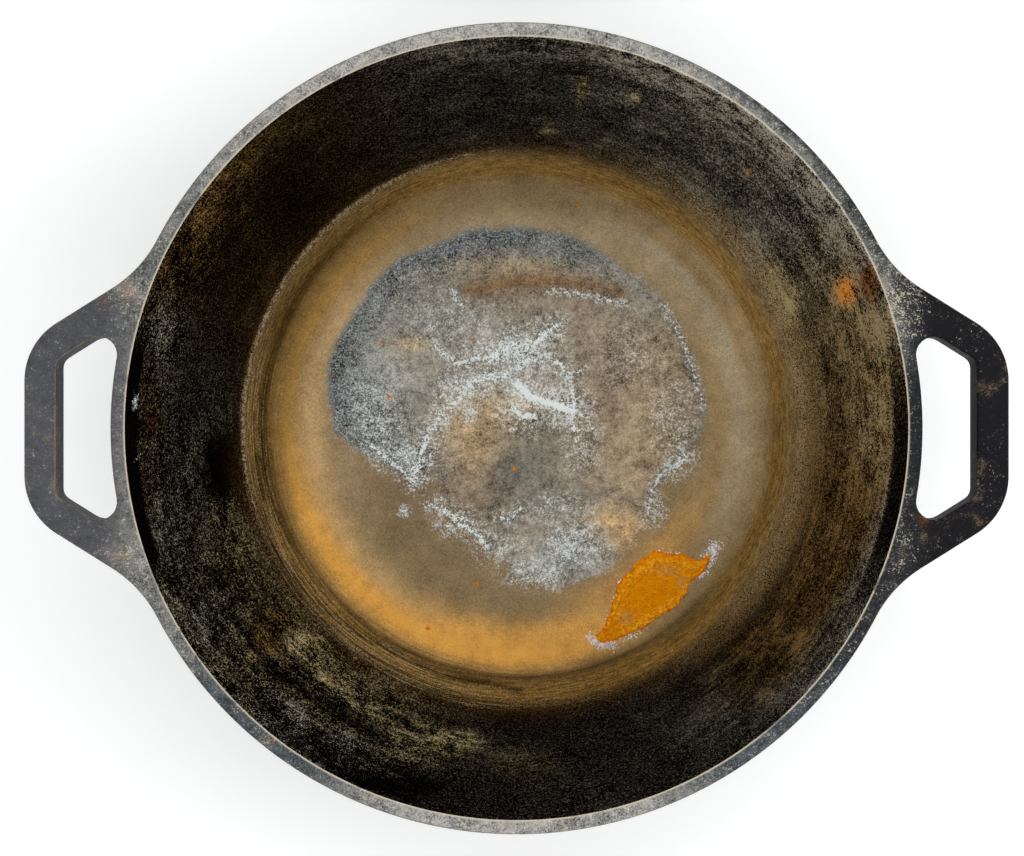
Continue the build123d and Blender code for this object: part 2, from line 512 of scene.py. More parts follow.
# White mineral scale: paths with a width and how thick the scale is
MINERAL_VEINS = [
    ([(434, 342), (439, 351), (450, 359), (458, 366)], 1.5, 1.0),
    ([(458, 366), (476, 358), (494, 356), (516, 352), (536, 345), (546, 334), (558, 324)], 3.2, 1.0),
    ([(500, 350), (518, 344), (532, 346), (546, 335)], 5.5, 0.95),
    ([(488, 362), (512, 356), (536, 352)], 4.5, 0.85),
    ([(414, 480), (420, 456), (430, 431), (446, 410), (462, 396), (478, 380), (494, 374)], 3.8, 0.95),
    ([(462, 392), (480, 377), (504, 376), (528, 362), (545, 356)], 5.2, 0.90),
    ([(545, 356), (562, 366), (571, 384), (574, 404), (573, 424), (578, 438)], 3.2, 0.92),
    ([(556, 372), (568, 376), (580, 372)], 3.0, 0.70),
    ([(518, 384), (530, 396), (548, 403), (572, 410)], 5.2, 1.60),
    ([(572, 404), (584, 416), (594, 430)], 1.5, 0.85),
    ([(512, 408), (522, 416), (532, 416)], 4.6, 1.20),
    ([(440, 396), (452, 384), (462, 380)], 2.4, 0.65),
    ([(372, 446), (390, 461), (414, 481)], 3.0, 0.95),
    ([(404, 452), (412, 466), (416, 480)], 2.6, 0.95),
    ([(434, 506), (448, 512), (458, 524), (472, 530), (488, 546)], 3.2, 0.90),
    ([(460, 518), (478, 526)], 3.0, 0.70),
    ([(498, 518), (512, 520), (520, 508)], 2.6, 0.65),
    ([(546, 291), (575, 293), (600, 299), (624, 303)], 1.3, 0.85),
    ([(664, 305), (684, 343), (698, 386), (704, 405)], 1.6, 0.74),
    ([(684, 456), (674, 468)], 4.0, 1.0),
    ([(661, 474), (652, 490), (648, 515)], 1.6, 0.85),
    ([(452, 290), (458, 300), (464, 308)], 2.0, 0.66),
]
MINERAL_SPREAD = 4.5  # powder beside a vein, in widths of the vein
MINERAL_POWDER = 0.44
# White scratches on the wall, as the veins are
SCRATCHES = [([(134, 390), (137, 414)], 1.5, 0.7), ([(139, 454), (137, 459)], 1.6, 0.8)]
# Thin white bloom: middle, half sizes, how thick
MINERAL_HAZE = [
    ((512, 349), (46, 17), 0.84),
    ((545, 378), (36, 22), 0.40),
    ((470, 412), (10, 12), 0.85),
    ((398, 452), (30, 22), 0.56),
    ((470, 385), (34, 20), 0.58),
    ((362, 410), (36, 40), 0.24),
    ((576, 545), (30, 22), 0.80),
    ((535, 574), (32, 15), 0.66),
    ((560, 510), (44, 20), 0.38),
    ((455, 522), (24, 18), 0.46),
    ((672, 420), (30, 46), 0.34),
    ((630, 360), (56, 50), 0.22),
    ((404, 511), (7, 6), 0.80),
    ((655, 512), (16, 20), 0.46),
    ((455, 325), (60, 36), 0.28),
    ((420, 300), (60, 50), 0.18),
    ((580, 440), (26, 40), 0.38),
    ((500, 548), (36, 24), 0.30),
    ((385, 430), (30, 26), 0.42),
]

# The brown floor. Sides are an angle and a spread, and fades are radii in the picture
RIGHT_FLOOR = (8, 70)
LEFT_FLOOR = (150, 85)
UMBER_FADE = (280, 304)
OLIVE_FADE = (254, 288)
OLIVE_SHIFT_LEFT = (19, -6)  # how far both ends of the fade move on the left
OLIVE_SHIFT_RIGHT = 18  # and its outer end on the right
MAUVE_FADE = (130, 195)
FULL_SHARE = 0.3  # part of a spread in which a side is full
ALL_ROUND = 180 / FULL_SHARE  # a spread that takes in every side
# Rings on the floor, one laid over another: colour, how thick, radius, width, angle, spread
FLOOR_STAINS = [
    (GREIGE, 0.9, 215, 24, 20, 66),
    (GREIGE, 0.5, 248, 12, 28, 34),
    (RING_GREY, 0.6, 222, 7, 24, 60),
    (RING_BROWN, 0.6, 200, 9, 345, 50),
    (RING_BROWN, 0.55, 235, 5, 40, 40),
    (GREIGE, 0.7, 206, 14, 85, 50),
    (TAN, 0.95, 208, 20, 188, 85),
    (HONEY, 0.9, 233, 10, 165, 70),
    (ORANGE_TAN, 0.94, 228, 17, 244, 76),
    (GREIGE, 0.35, 178, 14, 192, 30),
    (ORANGE_TAN, 0.60, 210, 16, 270, 40),
    (ORANGE_TAN, 0.30, 186, 16, 310, 36),
    (GOLDEN, 0.8, 258, 10, 0, ALL_ROUND),
    (GOLDEN, 0.6, 245, 8, 165, 60),
    (UMBER, 0.85, 257, 6, 168, 66),
    (UMBER, 0.35, 262, 14, 336, 60),
    (UMBER, 0.6, 282, 9, 205, 26),
    (UMBER, 0.7, 251, 4, 262, 80),
    (UMBER, 0.35, 276, 3, 0, ALL_ROUND),
    (GOLDEN, 0.55, 268, 6, 0, ALL_ROUND),
    (GOLDEN, 0.5, 270, 8, 285, 50),
    (UMBER, 0.40, 267, 9, 155, 60),
    (UMBER, 0.18, 140, 30, 222, 44),
    (OLIVE, 0.75, 286, 14, 8, 70),
]
FLOOR_CRACK = [
    (257, 455), (264, 510), (276, 552), (298, 582), (322, 608), (356, 632), (392, 651), (440, 675),
    (520, 690),
]
CRACK_WIDTH = 2.4
# Rings of another surface: radius, width, and an angle and a spread where they don't go all round
ORANGE_BAND = (226, 24, 244, 80)
BRUSHED_RING = (268, 18)
LINED_RING = (268, 22)
LINED_SIDE = (228, 85)
SEAM = (277, 2.6, 150, 80)

# Grime on the wall, by the side of the pot, and on the right a painted reflection of the brown floor as well:
# angle, spread, colour, density
WALL_SIDES = [
    # On the right, olive grime and a painted reflection of the brown floor
    (4, 66, OLIVE_GRIME_AND_REFLECTION, 0.72),
    (55, 40, ASH, 0.36),
    (95, 40, ASH, 0.14),
    (140, 40, SOOT_BROWN, 0.10),
    (230, 44, STRAW, 0.38),
    (332, 46, SOOT_BROWN, 0.52),
]
WALL_FOOT = (270, 296)  # radii in the picture between which the floor turns into the wall
BARE_WALL = -0.02  # density where there is next to no grime
GRIME_SHARE = 0.58  # how strongly the grime shows for its density
GRIME_SOFT = 0.12  # density over which the grime fades out
GRIME_CONTRAST = 1.8
# Grime below the rim, which begins between two radii: angle, spread, colour, density
BELOW_RIM = (352, 384)
RIM_SIDES = [
    (62, 60, ASH, 0.46),
    (146, 28, SOOT_BROWN, 0.34),
    (180, 25, OLIVE_GRIME_AND_REFLECTION, 0.12),
    (246, 34, ASH, -0.60),
    (272, 30, ASH, 0.14),
    (318, 50, ASH, -0.16),
]
# Paler and darker bands round the wall: density, radius and width in the picture, angle, spread
WALL_BANDS = [
    (-0.26, 318, 9, 24, 60),
    (-0.15, 292, 5, 10, 40),
    (-0.12, 350, 6, 40, 50),
    (0.36, 364, 10, 8, 30),
    (-0.5, 302, 3.5, 325, 32),
    (0.06, 290, 8, 150, 70),
]
# Cloudy places on the wall: middle, half sizes, colour, density
WALL_CLOUDS = [
    ((700, 150), (100, 60), ASH, 0.06),
    ((760, 153), (26, 18), ASH, 0.22),
    ((707, 180), (20, 16), ASH, 0.20),
    ((750, 227), (18, 28), ASH, 0.22),
    ((776, 278), (11, 17), STRAW, 0.62),
    ((790, 308), (10, 17), STRAW, 0.62),
    ((870, 425), (14, 34), OLIVE_GRIME_AND_REFLECTION, 0.16),
    ((870, 282), (9, 18), RUST_BROWN, 0.06),
    ((846, 291), (9, 13), RUST, 2.4),
    ((582, 86), (9, 15), STRAW, 0.42),
    ((545, 131), (12, 7), STRAW, 0.36),
    ((636, 98), (6, 5), STRAW, 0.50),
    ((220, 514), (12, 20), STRAW, 0.50),
    ((240, 552), (14, 24), STRAW, 0.40),
    ((170, 535), (20, 44), ASH, 0.30),
    ((163, 336), (20, 28), ASH, 0.34),
    ((154, 424), (8, 16), RUST_BROWN, 0.34),
    ((268, 634), (26, 24), SOOT_BROWN, 0.34),
    ((312, 642), (22, 14), STRAW, 0.50),
    ((290, 714), (28, 20), ASH, 0.56),
    ((350, 738), (26, 12), ASH, 0.30),
    ((445, 748), (34, 11), STRAW, 0.34),
    ((210, 625), (26, 28), ASH, 0.20),
    ((200, 228), (16, 34), SOOT_BROWN, 0.22),
    ((275, 330), (26, 60), SOOT_BROWN, 0.18),
    ((525, 764), (36, 16), STRAW, 0.32),
    ((700, 740), (60, 30), ASH, 0.05),
    ((748, 173), (3, 2.2), RUST, 0.7),
]
CLOUD_COLOUR = 1.6  # how thick a cloud's colour is laid over the rest
# Streaks along the wall: path, width, colour, density
WALL_STREAKS = [
    ([(296, 644), (330, 676), (360, 702), (400, 722), (440, 733), (470, 741)], 11, STRAW, 0.62),
    ([(270, 668), (300, 690), (335, 713), (372, 734)], 10, STRAW, -0.80),
]
# Bare black places on the wall: middle, half sizes
DARK_GAPS = [
    ((215, 588), (34, 26)),
    ((405, 722), (24, 9)),
    ((262, 600), (16, 8)),
    ((226, 465), (34, 46)),
    ((430, 782), (60, 14)),
    ((505, 715), (60, 14)),
    ((290, 200), (30, 40)),
]
GAP_DENSITY = -0.5
# Painted shade: dark bands below the rim on the left and the right, where the grime is taken away: how far
# the mouth's circle moves to draw one, and its angle
PAINTED_SHADE_BANDS = [((-14.0, -3.0), -8), ((11.0, -2.0), 184)]
PAINTED_SHADE_SPREAD = 24
PAINTED_SHADE_DENSITY = -1.2
PAINTED_SHADE_EDGE = 2
MOUTH_PIXELS = 391.0
# The flecked side: angle and spread, and those of its part below the rim, which begins between two radii
FLECKED_SIDE = (214, 57)
FLECKED_TOP = (168, 40)
FLECKED_RISE = (330, 372)
FLECKED_DENSITY = -0.20
FLECKED_COVER = -0.28
FLECKED_CLUMPS = 0.32
# Grit on the wall: everywhere, with the grime, on the flecked side and on the right
GRIT = 0.12
GRIT_IN_GRIME = 0.18
GRIT_FLECKED = 0.22
GRIT_RIGHT = 0.11
GRITTY_RIGHT = (18, 70)
GRIT_FADE = (-0.9, -0.2)  # densities between which it begins to show
# How rough the grain looks on the floor, how much more on the wall, and how much less on the orange band
FLOOR_GRAIN = 0.085
WALL_GRAIN = 0.665
ORANGE_GRAIN = 0.05

# The rim's tones, painted reflections of a room that is bright above and below and dark on the right, one
# over another: colour, then its sides with an angle, a spread and how thick it is there
RIM_REFLECTIONS = [
    (RIM_PALE_REFLECTION_AND_WEAR, [(98, 64, 1.0), (272, 40, 1.0), (194, 34, 0.4)]),
    (RIM_SLATE_REFLECTION, [(229, 20, 0.9), (314, 30, 0.9)]),
    (RIM_DARK_REFLECTION, [(-18, 34, 1.0), (2, 12, 0.8)]),
]
# Painted dark reflection on the right of the rim, deepest towards its outer edge: angle and spread
DARK_RIM_REFLECTION = (22, 60)
DARK_RIM_REFLECTION_BAND = (2.6, 0.8)  # millimetres from the rim's edge over which it darkens there
LEFT_HANDLE = (95, 150)  # columns of the picture between which the handle begins
RIGHT_HANDLE = (900, 935)
# Worn and rusty spots on the rim: middle, half sizes, colour, how thick
RIM_SPOTS = [
    ((130, 290), (14, 16), RIM_PALE_REFLECTION_AND_WEAR, 0.5),
    ((118, 552), (11, 8), RIM_PALE_REFLECTION_AND_WEAR, 0.5),
    ((890, 268), (7, 8), RIM_PALE_REFLECTION_AND_WEAR, 0.5),
    ((140, 560), (10, 14), RIM_PALE_REFLECTION_AND_WEAR, 0.5),
    ((196, 652), (7, 14), RIM_PALE_REFLECTION_AND_WEAR, 0.5),
    ((272, 738), (7, 4), RUST, 0.25),
    ((924, 520), (4, 5), RUST, 0.25),
    ((121, 555), (7, 5), RUST, 0.25),
    ((129, 292), (8, 7), RUST, 0.25),
    ((104, 300), (6, 4), RUST, 0.25),
]
# Pale specks on the rim and the handles: middle, half sizes, how many
SPECKED_SIDE = (16, 50)
RIM_SPECKS = [
    ((915, 300), (40, 34), 0.36),
    ((930, 545), (30, 30), 0.26),
    ((975, 330), (22, 40), 0.30),
    ((992, 480), (14, 50), 0.30),
    ((128, 290), (24, 26), 0.22),
    ((120, 553), (24, 20), 0.22),
]


def fade(distance, width):
    """1 at no distance, fading over a width."""
    return np.exp(-((distance / width) ** 2))


class Paint:
    """Colours and shares at the points of a mesh, placed by the pixels at which they are seen."""

    def __init__(self, mesh):
        self.mesh = mesh
        flat = np.empty(3 * len(mesh.vertices))
        mesh.vertices.foreach_get("co", flat)
        self.points = flat.reshape(-1, 3) / MM
        self.z = self.points[:, 2]
        self.radius = np.hypot(self.points[:, 0], self.points[:, 1])
        self.place = np.column_stack(seen_at(self.points))
        away = self.place - FLOOR_CENTRE
        self.rho = np.hypot(away[:, 0], away[:, 1])
        self.theta = np.degrees(np.arctan2(-away[:, 1], away[:, 0]))

    def blank(self, colour):
        """One colour at every point."""
        return np.tile(colour, (len(self.points), 1))

    def near_angle(self, centre, spread):
        """1 round an angle, and 0 from a spread on both sides of it, in degrees."""
        away = np.abs((self.theta - centre + 180) % 360 - 180)
        return 1 - smooth(FULL_SHARE * spread, spread, away)

    def ring(self, radius, width):
        """1 on a circle round the floor's middle, fading over a width."""
        return fade(self.rho - radius, width)

    def arc(self, radius, width, angle, spread):
        """1 on the part of a ring that lies round an angle."""
        return self.near_angle(angle, spread) * self.ring(radius, width)

    def cloud(self, centre, size):
        """1 in the middle of an oval, fading over its half sizes."""
        away = (self.place - centre) / size
        return np.exp(-(away**2).sum(axis=1))

    def stroke(self, path, width):
        """1 along a path, fading over a width."""
        return fade(distance_to(self.place, path), width)

    def share(self, name, values):
        """Keep one number for each point."""
        layer = self.mesh.attributes.new(name, "FLOAT", "POINT")
        layer.data.foreach_set("value", np.asarray(values, np.float32))

    def colour(self, name, values):
        """Keep one colour for each point."""
        layer = self.mesh.attributes.new(name, "FLOAT_COLOR", "POINT")
        opaque = np.column_stack([values, np.ones(len(values))])
        layer.data.foreach_set("color", opaque.astype(np.float32).ravel())


def wash(tints, colour, amount):
    """Lay a colour over others, as thick as an amount says."""
    tints += (colour - tints) * np.clip(amount, 0, 1)[:, None]


def wash_clouds(paint, tints, clouds):
    """Lay soft places of another colour over the rest."""
    for centre, size, colour, amount in clouds:
        wash(tints, colour, amount * paint.cloud(centre, size))


def paint_floor(paint, tints):
    """The brown floor with its rings, up to the foot of the wall."""
    right = paint.near_angle(*RIGHT_FLOOR)
    left = paint.near_angle(*LEFT_FLOOR)
    wash(tints, UMBER, (0.75 - 0.45 * left) * (1 - smooth(*UMBER_FADE, paint.rho)))
    start = OLIVE_FADE[0] + OLIVE_SHIFT_LEFT[0] * left
    end = OLIVE_FADE[1] + OLIVE_SHIFT_RIGHT * right + OLIVE_SHIFT_LEFT[1] * left
    wash(tints, OLIVE, 1 - smooth(start, end, paint.rho))
    wash(tints, MAUVE, 0.85 * (1 - smooth(*MAUVE_FADE, paint.rho)))
    for colour, amount, *ring in FLOOR_STAINS:
        wash(tints, colour, amount * paint.arc(*ring))
    wash(tints, BLACK_IRON, 0.75 * paint.stroke(FLOOR_CRACK, CRACK_WIDTH))


def flecked_side(paint):
    """1 on the left, where the wall is black with pale flecks."""
    below_rim = smooth(*FLECKED_RISE, paint.rho)
    return np.maximum(paint.near_angle(*FLECKED_SIDE), paint.near_angle(*FLECKED_TOP) * below_rim)


def paint_wall(paint):
    """Colour and density of the grime on the black wall, with a painted reflection of the floor on its right,
    and the bands of painted shade below the rim.
    """
    grime_and_reflection = paint.blank(ASH)
    density = np.zeros(len(paint.points))
    below_rim = smooth(*BELOW_RIM, paint.rho)
    for angle, spread, colour, amount in WALL_SIDES:
        side = paint.near_angle(angle, spread)
        wash(grime_and_reflection, colour, side)
        density = np.maximum(density, amount * side)
    density += BARE_WALL + FLECKED_DENSITY * flecked_side(paint)
    for angle, spread, colour, amount in RIM_SIDES:
        side = paint.near_angle(angle, spread) * below_rim
        wash(grime_and_reflection, colour, side)
        density += amount * side
    for amount, *ring in WALL_BANDS:
        density += amount * paint.arc(*ring)
    for centre, size, colour, amount in WALL_CLOUDS:
        cloud = paint.cloud(centre, size)
        wash(grime_and_reflection, colour, CLOUD_COLOUR * cloud)
        density += amount * cloud
    for path, width, colour, amount in WALL_STREAKS:
        streak = paint.stroke(path, width)
        wash(grime_and_reflection, colour, streak)
        density += amount * streak
    for centre, size in DARK_GAPS:
        density += GAP_DENSITY * paint.cloud(centre, size)
    # Painted shade: the grime is taken away in bands below the rim, leaving the wall black
    for shift, angle in PAINTED_SHADE_BANDS:
        away = paint.place - RIM_CENTRE - np.array(shift)
        beyond = np.hypot(away[:, 0], away[:, 1]) - MOUTH_PIXELS
        painted_shade = smooth(-PAINTED_SHADE_EDGE, PAINTED_SHADE_EDGE, beyond)
        density += PAINTED_SHADE_DENSITY * painted_shade * paint.near_angle(angle, PAINTED_SHADE_SPREAD)
    return grime_and_reflection, density


def paint_patch(paint):
    """Colours of the grey patch on the floor, where the iron shows through."""
    tints = paint.blank(BROWN_GREY)
    depth = distance_to(paint.place, PATCH_OUTLINE, closed=True)
    wash_clouds(paint, tints, PATCH_CLOUDS)
    wash(tints, CRESCENT_BROWN, 0.95 * paint.stroke(CRESCENT, CRESCENT_WIDTH))
    band = paint.near_angle(*DARK_EDGE) * fade(depth, DARK_EDGE_WIDTH)
    wash(tints, SLATE, 0.95 * band)
    paint.share("speckle", np.maximum(band, paint.cloud(*SPECKLED_PLACE)))
    wash(tints, SLATE, 0.6 * paint.near_angle(*RIGHT_LINE) * fade(depth, RIGHT_LINE_WIDTH))
    inside = within(paint.place, np.array(PATCH_OUTLINE))
    return tints, np.where(inside, depth, -depth)


def paint_mineral(paint):
    """How thick the white scale lies in veins and as a thin bloom."""
    veins = np.zeros(len(paint.points))
    haze = np.zeros(len(paint.points))
    for path, width, amount in MINERAL_VEINS:
        veins = np.maximum(veins, amount * paint.stroke(path, width))
        haze = np.maximum(haze, MINERAL_POWDER * amount * paint.stroke(path, MINERAL_SPREAD * width))
    for path, width, amount in SCRATCHES:
        veins = np.maximum(veins, amount * paint.stroke(path, width))
    for centre, size, amount in MINERAL_HAZE:
        haze = np.maximum(haze, amount * paint.cloud(centre, size))
    paint.share("veins", veins)
    paint.share("haze", haze)


def paint_inside(paint):
    """Everything on the pot's inside."""
    tints = paint.blank(BLACK_IRON)
    paint_floor(paint, tints)
    grime_and_reflection, density = paint_wall(paint)
    patch, depth = paint_patch(paint)
    wall = smooth(*WALL_FOOT, paint.rho)
    # Painted light: colours are made lighter where less light falls, most on the wall and on the floor's
    # right
    floor_light = FLOOR_LIGHT - SIDE_LIGHT * paint.points[:, 0] / inside_radius(FLOOR_TOP)
    light = (floor_light + (WALL_LIGHT - floor_light) * wall)[:, None]
    paint.colour("tint", tints / light)
    paint.colour("grime_and_reflection", grime_and_reflection / light)
    grime_depth = GRIME_SHARE * GRIME_SOFT * np.logaddexp(0, density / GRIME_SOFT)
    flecked = flecked_side(paint)
    grit = GRIT + GRIT_IN_GRIME * grime_depth + GRIT_FLECKED * flecked
    grit += GRIT_RIGHT * paint.near_angle(*GRITTY_RIGHT)
    paint.share("grime_depth", grime_depth + FLECKED_COVER * flecked)
    paint.share("grit", grit * smooth(*GRIT_FADE, density))
    paint.share("clumps", grime_depth + FLECKED_CLUMPS * flecked)
    paint.colour("patch", patch / light)
    paint.share("patch_depth", np.clip(depth, -PATCH_REACH, PATCH_REACH))
    paint_mineral(paint)
    paint.share("wall", wall)
    paint.share("grain_depth", FLOOR_GRAIN + WALL_GRAIN * wall - ORANGE_GRAIN * paint.arc(*ORANGE_BAND))
    paint.share("rings", paint.ring(*BRUSHED_RING))
    paint.share("lines", paint.ring(*LINED_RING) * (0.3 + 0.7 * paint.near_angle(*LINED_SIDE)))
    paint.share("seam", paint.arc(*SEAM))


def paint_rim(paint):
    """The worn rim and the handles, with painted reflections of the room on their tops."""
    column = paint.place[:, 0]
    tints = paint.blank(RIM_GREY)
    # Painted reflections of the room on the rim's top
    for colour, sides in RIM_REFLECTIONS:
        wash(tints, colour, sum(amount * paint.near_angle(angle, spread) for angle, spread, amount in sides))
    # A painted dark reflection on the right, deeper towards the rim's outer edge
    dark_reflection_side = paint.near_angle(*DARK_RIM_REFLECTION)
    start, end = DARK_RIM_REFLECTION_BAND
    wash(tints, RIM_DARK_REFLECTION, 0.85 * smooth(RIM_RADIUS - start, RIM_RADIUS - end, paint.radius) * dark_reflection_side)
    left = 1 - smooth(*LEFT_HANDLE, column)
    right = smooth(*RIGHT_HANDLE, column)
    # Painted reflections on the handles: a pale slate sheen on the left one and near black on the right one
    wash(tints, HANDLE_SLATE_REFLECTION, 0.9 * left)
    wash(tints, HANDLE_DARK_REFLECTION, 0.97 * right)
    wash_clouds(paint, tints, RIM_SPOTS)
    specks = 0.08 + 0.12 * paint.near_angle(*SPECKED_SIDE) - 0.16 * left - 0.50 * right
    for centre, size, amount in RIM_SPECKS:
        specks += amount * paint.cloud(centre, size)
    down = RIM_TOP - paint.z
    edge = smooth(0.02, 0.3 * RIM_ROUND, down) * (1 - smooth(0.6 * RIM_ROUND, RIM_ROUND, down))
    edge *= paint.radius > RIM_RADIUS - RIM_ROUND
    paint.colour("rim_tint", tints)
    paint.share("rim_rough", 1 - 0.6 * left - 0.4 * right)
    paint.share("rim_specks", specks)
    paint.share("edge", edge * (1 - 0.8 * np.maximum(right, dark_reflection_side)))


# Finishes
NOISE_SPREAD = 0.115  # spread of one plain layer of noise about its middle


def feed(tree, socket, value):
    """Link a socket to another, or set its value."""
    if isinstance(value, bpy.types.NodeSocket):
        tree.links.new(value, socket)
    elif isinstance(value, np.ndarray):
        socket.default_value = (*value, 1)
    else:
        socket.default_value = value


def add_node(tree, kind, inputs, **settings):
    """A node with its settings, and with a link or a value at its inputs."""
    node = tree.nodes.new("ShaderNode" + kind)
    for name, setting in settings.items():
        setattr(node, name, setting)
    for name, value in inputs.items():
        feed(tree, node.inputs[name], value)
    return node


class Finish:
    """A material being put together. Most methods add nodes and give back the socket of their result."""

    def __init__(self, name, roughness, specular):
        self.material = bpy.data.materials.new(name)
        self.material.use_nodes = True
        self.tree = self.material.node_tree
        self.feed_shader({"Roughness": roughness, "Specular IOR Level": specular})
        self.object_place = self.node("TexCoord", {}).outputs["Object"]

    def feed_shader(self, inputs):
        shader = self.tree.nodes["Principled BSDF"]
        for name, value in inputs.items():
            feed(self.tree, shader.inputs[name], value)

    def node(self, kind, inputs, **settings):
        return add_node(self.tree, kind, inputs, **settings)

    def share(self, name):
        """A number that is kept at the mesh's points."""
        return self.node("Attribute", {}, attribute_name=name).outputs["Fac"]

    def colour(self, name):
        """A colour that is kept at the mesh's points."""
        return self.node("Attribute", {}, attribute_name=name).outputs["Color"]

    def math(self, operation, first, second):
        return self.node("Math", {0: first, 1: second}, operation=operation).outputs[0]

    def times(self, first, second):
        return self.math("MULTIPLY", first, second)

    def total(self, *terms):
        """Sum of sockets, numbers and pairs of a socket and its weight."""
        sockets = [self.times(*term) if isinstance(term, tuple) else term for term in terms]
        result = sockets[0]
        for socket in sockets[1:]:
            result = self.math("ADD", result, socket)
        return result

    def range(self, value, low, high, to_low=0.0, to_high=1.0, soft=True):
        """A value moved from one range to another, with a soft step or in a straight line past both ends."""
        step = "SMOOTHSTEP" if soft else "LINEAR"
        ends = {"From Min": low, "From Max": high, "To Min": to_low, "To Max": to_high}
        node = self.node("MapRange", {"Value": value, **ends}, interpolation_type=step, clamp=soft)
        return node.outputs["Result"]

    def vector(self, operation, inputs):
        return self.node("VectorMath", inputs, operation=operation)

    def flat_place(self):
        """Place without its height."""
        return self.vector("MULTIPLY", {0: self.object_place, 1: (1, 1, 0)}).outputs[0]

    def axis_distance(self):
        """Distance from the pot's axis, in metres."""
        return self.vector("LENGTH", {0: self.flat_place()}).outputs["Value"]

    def lumpy(self, place, size, detail, roughness):
        """Noise with lumps of a size in millimetres down to ever finer ones, with a spread of about 1."""
        inputs = {**place, "Scale": 1 / (size * MM), "Detail": float(detail), "Roughness": roughness}
        node = self.node("TexNoise", inputs, noise_dimensions="4D" if "W" in place else "3D")
        weights = roughness ** np.arange(detail + 1)
        half = NOISE_SPREAD * math.sqrt((weights**2).sum()) / weights.sum()
        return self.range(node.outputs[0], 0.5 - half, 0.5 + half, -1.0, 1.0, soft=False)

    def noise(self, size, detail=1, roughness=0.5):
        """Noise that is the same in all directions."""
        return self.lumpy({"Vector": self.object_place}, size, detail, roughness)

    def streaks(self, size, reach, detail, roughness):
        """Noise drawn out round the pot's axis, with streaks of a width and a reach in millimetres."""
        unit = self.vector("NORMALIZE", {0: self.flat_place()}).outputs[0]
        around = self.vector("SCALE", {0: unit, "Scale": size / reach * RIM_RADIUS * MM}).outputs[0]
        height = self.node("SeparateXYZ", {0: self.object_place}).outputs["Z"]
        along = self.total(self.axis_distance(), height)
        return self.lumpy({"Vector": around, "W": along}, size, detail, roughness)

    def mix(self, amount, first, second):
        """The second colour over the first."""
        return self.node("Mix", {0: amount, 6: first, 7: second}, data_type="RGBA").outputs[2]

    def over(self, tint, colour, value, low, high, thickness):
        """A colour laid over a tint where a value rises from low to high."""
        return self.mix(self.range(value, low, high, 0.0, thickness), tint, colour)

    def shade(self, tint, amount):
        """A colour made lighter or darker by 1 plus an amount."""
        scale = self.math("MAXIMUM", self.total(1.0, amount), 0.0)
        return self.vector("SCALE", {0: tint, "Scale": scale}).outputs[0]

    def finish(self, tint, height, bump):
        """The finished material, with a bump of so many millimetres."""
        bumped = self.node("Bump", {"Distance": bump * MM, "Height": height})
        self.feed_shader({"Base Color": tint, "Normal": bumped.outputs["Normal"]})
        return self.material


def inside_layers(made):
    """Layers of noise on the pot's inside, from fine to broad, and drawn out round the wall."""
    fine = made.noise(0.45, 1, 0.6)
    powder = made.noise(0.9, 3, 0.8)
    return SimpleNamespace(
        fine=fine,
        powder=powder,
        grain=made.total((fine, 0.8), (powder, 0.6)),
        ragged=made.noise(1.8, 3, 0.7),
        lumps=made.noise(4.0, 4, 0.65),
        clouds=made.noise(14.0, 4, 0.55),
        brushed=made.streaks(0.8, 5.0, 3, 0.75),
        lines=made.streaks(0.7, 45.0, 2, 0.6),
        bands=made.streaks(3.0, 50.0, 3, 0.65),
    )


def floor_tint(made, layers):
    """The painted floor and bare wall, with grain, brushed rings and fine scratched lines."""
    rough = made.times(layers.grain, made.share("grain_depth"))
    tint = made.shade(made.colour("tint"), made.total(rough, (layers.clouds, 0.05), (layers.lumps, 0.03)))
    brushed = made.range(made.share("rings"), 0.0, 1.0, 0.02, 0.20)
    tint = made.shade(tint, made.times(layers.brushed, brushed))
    lined = made.times(made.total(layers.lines, (layers.grain, 0.5)), made.share("lines"))
    tint = made.shade(tint, made.times(lined, 0.28))
    return made.over(tint, GREIGE / FLOOR_LIGHT, lined, 0.8, 2.0, 0.7)


def patch_over(tint, made, layers):
    """The grey patch, with a ragged edge and white dots."""
    speckled = made.times(layers.grain, made.range(made.share("speckle"), 0.0, 1.0, 0.11, 0.28))
    mottled = made.total(speckled, (layers.clouds, 0.09), (layers.lumps, 0.12), (layers.ragged, 0.06))
    patch = made.shade(made.colour("patch"), mottled)
    edge = made.total(made.share("patch_depth"), (layers.grain, 1.2), (layers.lumps, 1.2))
    inside = made.range(edge, -3.0, 3.0)
    dots = made.times(made.range(layers.grain, 1.0, 2.4), made.share("speckle"))
    return made.mix(made.times(dots, made.times(inside, 0.45)), made.mix(inside, tint, patch), MINERAL)


def seam_over(tint, made, layers):
    """The pale broken line at the foot of the wall."""
    broken = made.total(1.0, (layers.ragged, 0.5), (layers.grain, 0.4))
    seam = made.times(made.share("seam"), broken)
    return made.over(tint, GREIGE / FLOOR_LIGHT, seam, 0.5, 1.5, 0.85)


def grime_and_reflection_over(tint, made, layers):
    """Grime on the wall, and the painted reflection of the floor on its right, in clumps and as grit."""
    clumps = made.total((layers.lumps, 0.24), (layers.clouds, 0.28), (layers.bands, 0.20))
    clumps = made.times(clumps, made.share("clumps"))
    grit = made.times(made.total((layers.fine, 0.5), (layers.powder, 0.85)), made.share("grit"))
    cover = made.math("MAXIMUM", made.total(made.share("grime_depth"), clumps, grit), 0.0)
    cover = made.math("MINIMUM", made.math("POWER", cover, GRIME_CONTRAST), 1.0)
    return made.mix(made.times(cover, made.share("wall")), tint, made.colour("grime_and_reflection"))


